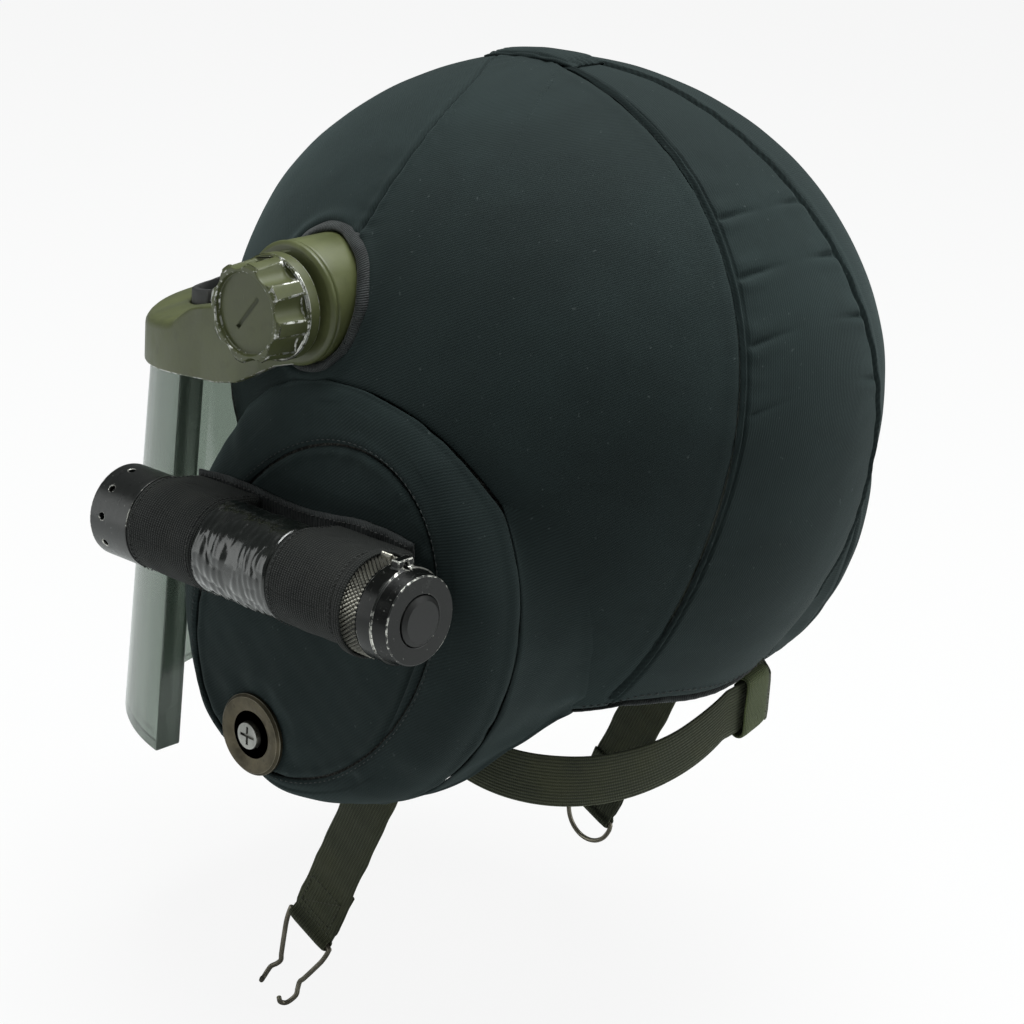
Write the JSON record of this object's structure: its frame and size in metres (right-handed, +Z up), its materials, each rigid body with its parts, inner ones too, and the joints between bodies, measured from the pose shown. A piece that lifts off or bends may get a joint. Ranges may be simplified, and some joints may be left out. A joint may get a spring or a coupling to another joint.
{
  "type": "ballistic helmet",
  "caption": "Deep padded ballistic helmet with a cloth cover, round ear cups, a hinged thick glass visor, a strapped-on torch and webbing chin and nape straps.",
  "frame": {"origin": "head seat: the point on the middle plane at the dome's widest level, where the wearer's head is centred in the liner", "axes": "+X to the wearer's left, +Y to the rear, +Z up; the visor faces -Y"},
  "size_m": [0.3252, 0.3169, 0.4183],
  "materials": {
    "shell_metal": "satin paint over pressed metal",
    "plate_metal": "satin paint over pressed metal",
    "foam": "closed-cell foam covered in thin cloth",
    "edge_rubber": "matt black extruded edging",
    "cover_cloth": "dark navy cotton twill, faded along the seams",
    "disc_cloth": "dark navy twill stretched over foam",
    "binding": "black piped binding",
    "cushion": "soft brown leather",
    "olive_metal": "olive paint chipped to bare metal at the edges",
    "bolt_steel": "zinc plated",
    "washer_black": "moulded nylon friction disc",
    "visor_pane": "thick laminated armoured pane with a pale grey-green edge",
    "torch_metal": "black anodised with worn knurling",
    "torch_pane": "clear flat lens",
    "mirror_cone": "polished reflector",
    "bulb_metal": "lamp base and contact plate",
    "cell_wrap": "shrink-wrapped dry cells",
    "button_rubber": "matt rubber boot",
    "tape": "glossy black electrical tape, crumpled",
    "elastic": "black woven elastic",
    "washer_metal": "dull dished washer, tarnished",
    "webbing": "olive cotton webbing",
    "wire": "bent spring wire, dull"
  },
  "bodies": {
    "helmet": {"shell": "shell_metal", "ear_plate_left": "plate_metal", "ear_plate_right": "plate_metal", "ear_foam_left": "foam", "ear_foam_right": "foam", "brow_trim": "edge_rubber", "nape_trim": "edge_rubber", "cover_front": "cover_cloth", "cover_left": "cover_cloth", "cover_right": "cover_cloth", "cover_rear": "cover_cloth", "crown_welt": "cover_cloth", "cup_skirt_left": "cover_cloth", "cup_skirt_right": "cover_cloth", "ear_ring_left": "cover_cloth", "ear_ring_right": "cover_cloth", "ear_panel_left": "disc_cloth", "ear_panel_right": "disc_cloth", "slot_binding_left": "binding", "slot_binding_right": "binding", "pad_front": "foam", "pad_rear": "foam", "pad_crown": "foam", "side_pads": "foam", "ear_cushions": "cushion", "pivot_housing_left": "olive_metal", "pivot_housing_right": "olive_metal", "pivot_bolt_left": "bolt_steel", "pivot_bolt_right": "bolt_steel", "friction_washer_left": "washer_black", "friction_washer_right": "washer_black", "torch_tube": "torch_metal", "torch_bulb": "bulb_metal", "torch_cells": "cell_wrap", "torch_spring": "bolt_steel", "torch_tape": "tape", "torch_band_front": "elastic", "torch_band_rear": "elastic", "torch_backing": "binding", "cup_washers": "washer_metal", "cup_screws": "bolt_steel", "strap_anchors": "bolt_steel", "nape_strap": "webbing", "nape_keeper": "webbing"},
    "visor": {"visor_frame": "olive_metal", "visor_glass": "visor_pane", "visor_seal": "edge_rubber", "glass_retainer": "olive_metal", "retainer_screws": "bolt_steel"},
    "knob_left": {"clamp_knob_left": "olive_metal"},
    "knob_right": {"clamp_knob_right": "olive_metal"},
    "torch_front": {"torch_head": "torch_metal", "torch_lens": "torch_pane", "torch_reflector": "mirror_cone"},
    "torch_cap": {"torch_tailcap": "torch_metal"},
    "torch_switch": {"torch_button": "button_rubber"},
    "chin_left": {"chin_strap_left": "webbing"},
    "hook": {"chin_hook": "wire"},
    "chin_right": {"chin_strap_right": "webbing"},
    "ring": {"chin_ring": "wire"}
  },
  "joints": [
    {"name": "visor_hinge", "type": "hinge", "parent": "helmet", "child": "visor", "pos_m": [0, -0.023, 0.04], "axis": [-1, 0, 0], "range_deg": [0, 75]},
    {"name": "knob_left_turn", "type": "hinge", "parent": "helmet", "child": "knob_left", "pos_m": [0.1436, -0.023, 0.04], "axis": [1, 0, 0], "range_deg": [0, 270]},
    {"name": "knob_right_turn", "type": "hinge", "parent": "helmet", "child": "knob_right", "pos_m": [-0.1436, -0.023, 0.04], "axis": [-1, 0, 0], "range_deg": [0, 270]},
    {"name": "torch_focus", "type": "hinge", "parent": "helmet", "child": "torch_front", "pos_m": [0.152, 0, -0.057], "axis": [0, 0.9994, 0.0349], "range_deg": [0, 90]},
    {"name": "torch_cap_turn", "type": "hinge", "parent": "helmet", "child": "torch_cap", "pos_m": [0.152, 0, -0.057], "axis": [0, 0.9994, 0.0349], "range_deg": [0, 180]},
    {"name": "torch_button_press", "type": "slide", "parent": "torch_cap", "child": "torch_switch", "axis": [0, -0.9994, -0.0349], "range_m": [0, 0.002], "stiffness_N_per_m": 900},
    {"name": "chin_left_swing", "type": "hinge", "parent": "helmet", "child": "chin_left", "pos_m": [0.0919, 0.014, -0.138], "axis": [1, 0, 0], "range_deg": [-30, 45]},
    {"name": "hook_swing", "type": "hinge", "parent": "chin_left", "child": "hook", "pos_m": [0.0919, -0.03465, -0.24988], "axis": [0, 0.9171, -0.3987], "range_deg": [-40, 40]},
    {"name": "chin_right_swing", "type": "hinge", "parent": "helmet", "child": "chin_right", "pos_m": [-0.0919, 0.014, -0.138], "axis": [1, 0, 0], "range_deg": [-30, 45]},
    {"name": "ring_swing", "type": "hinge", "parent": "chin_right", "child": "ring", "pos_m": [-0.0919, -0.03465, -0.24988], "axis": [0, 0.9171, -0.3987], "range_deg": [-40, 40]}
  ]
}
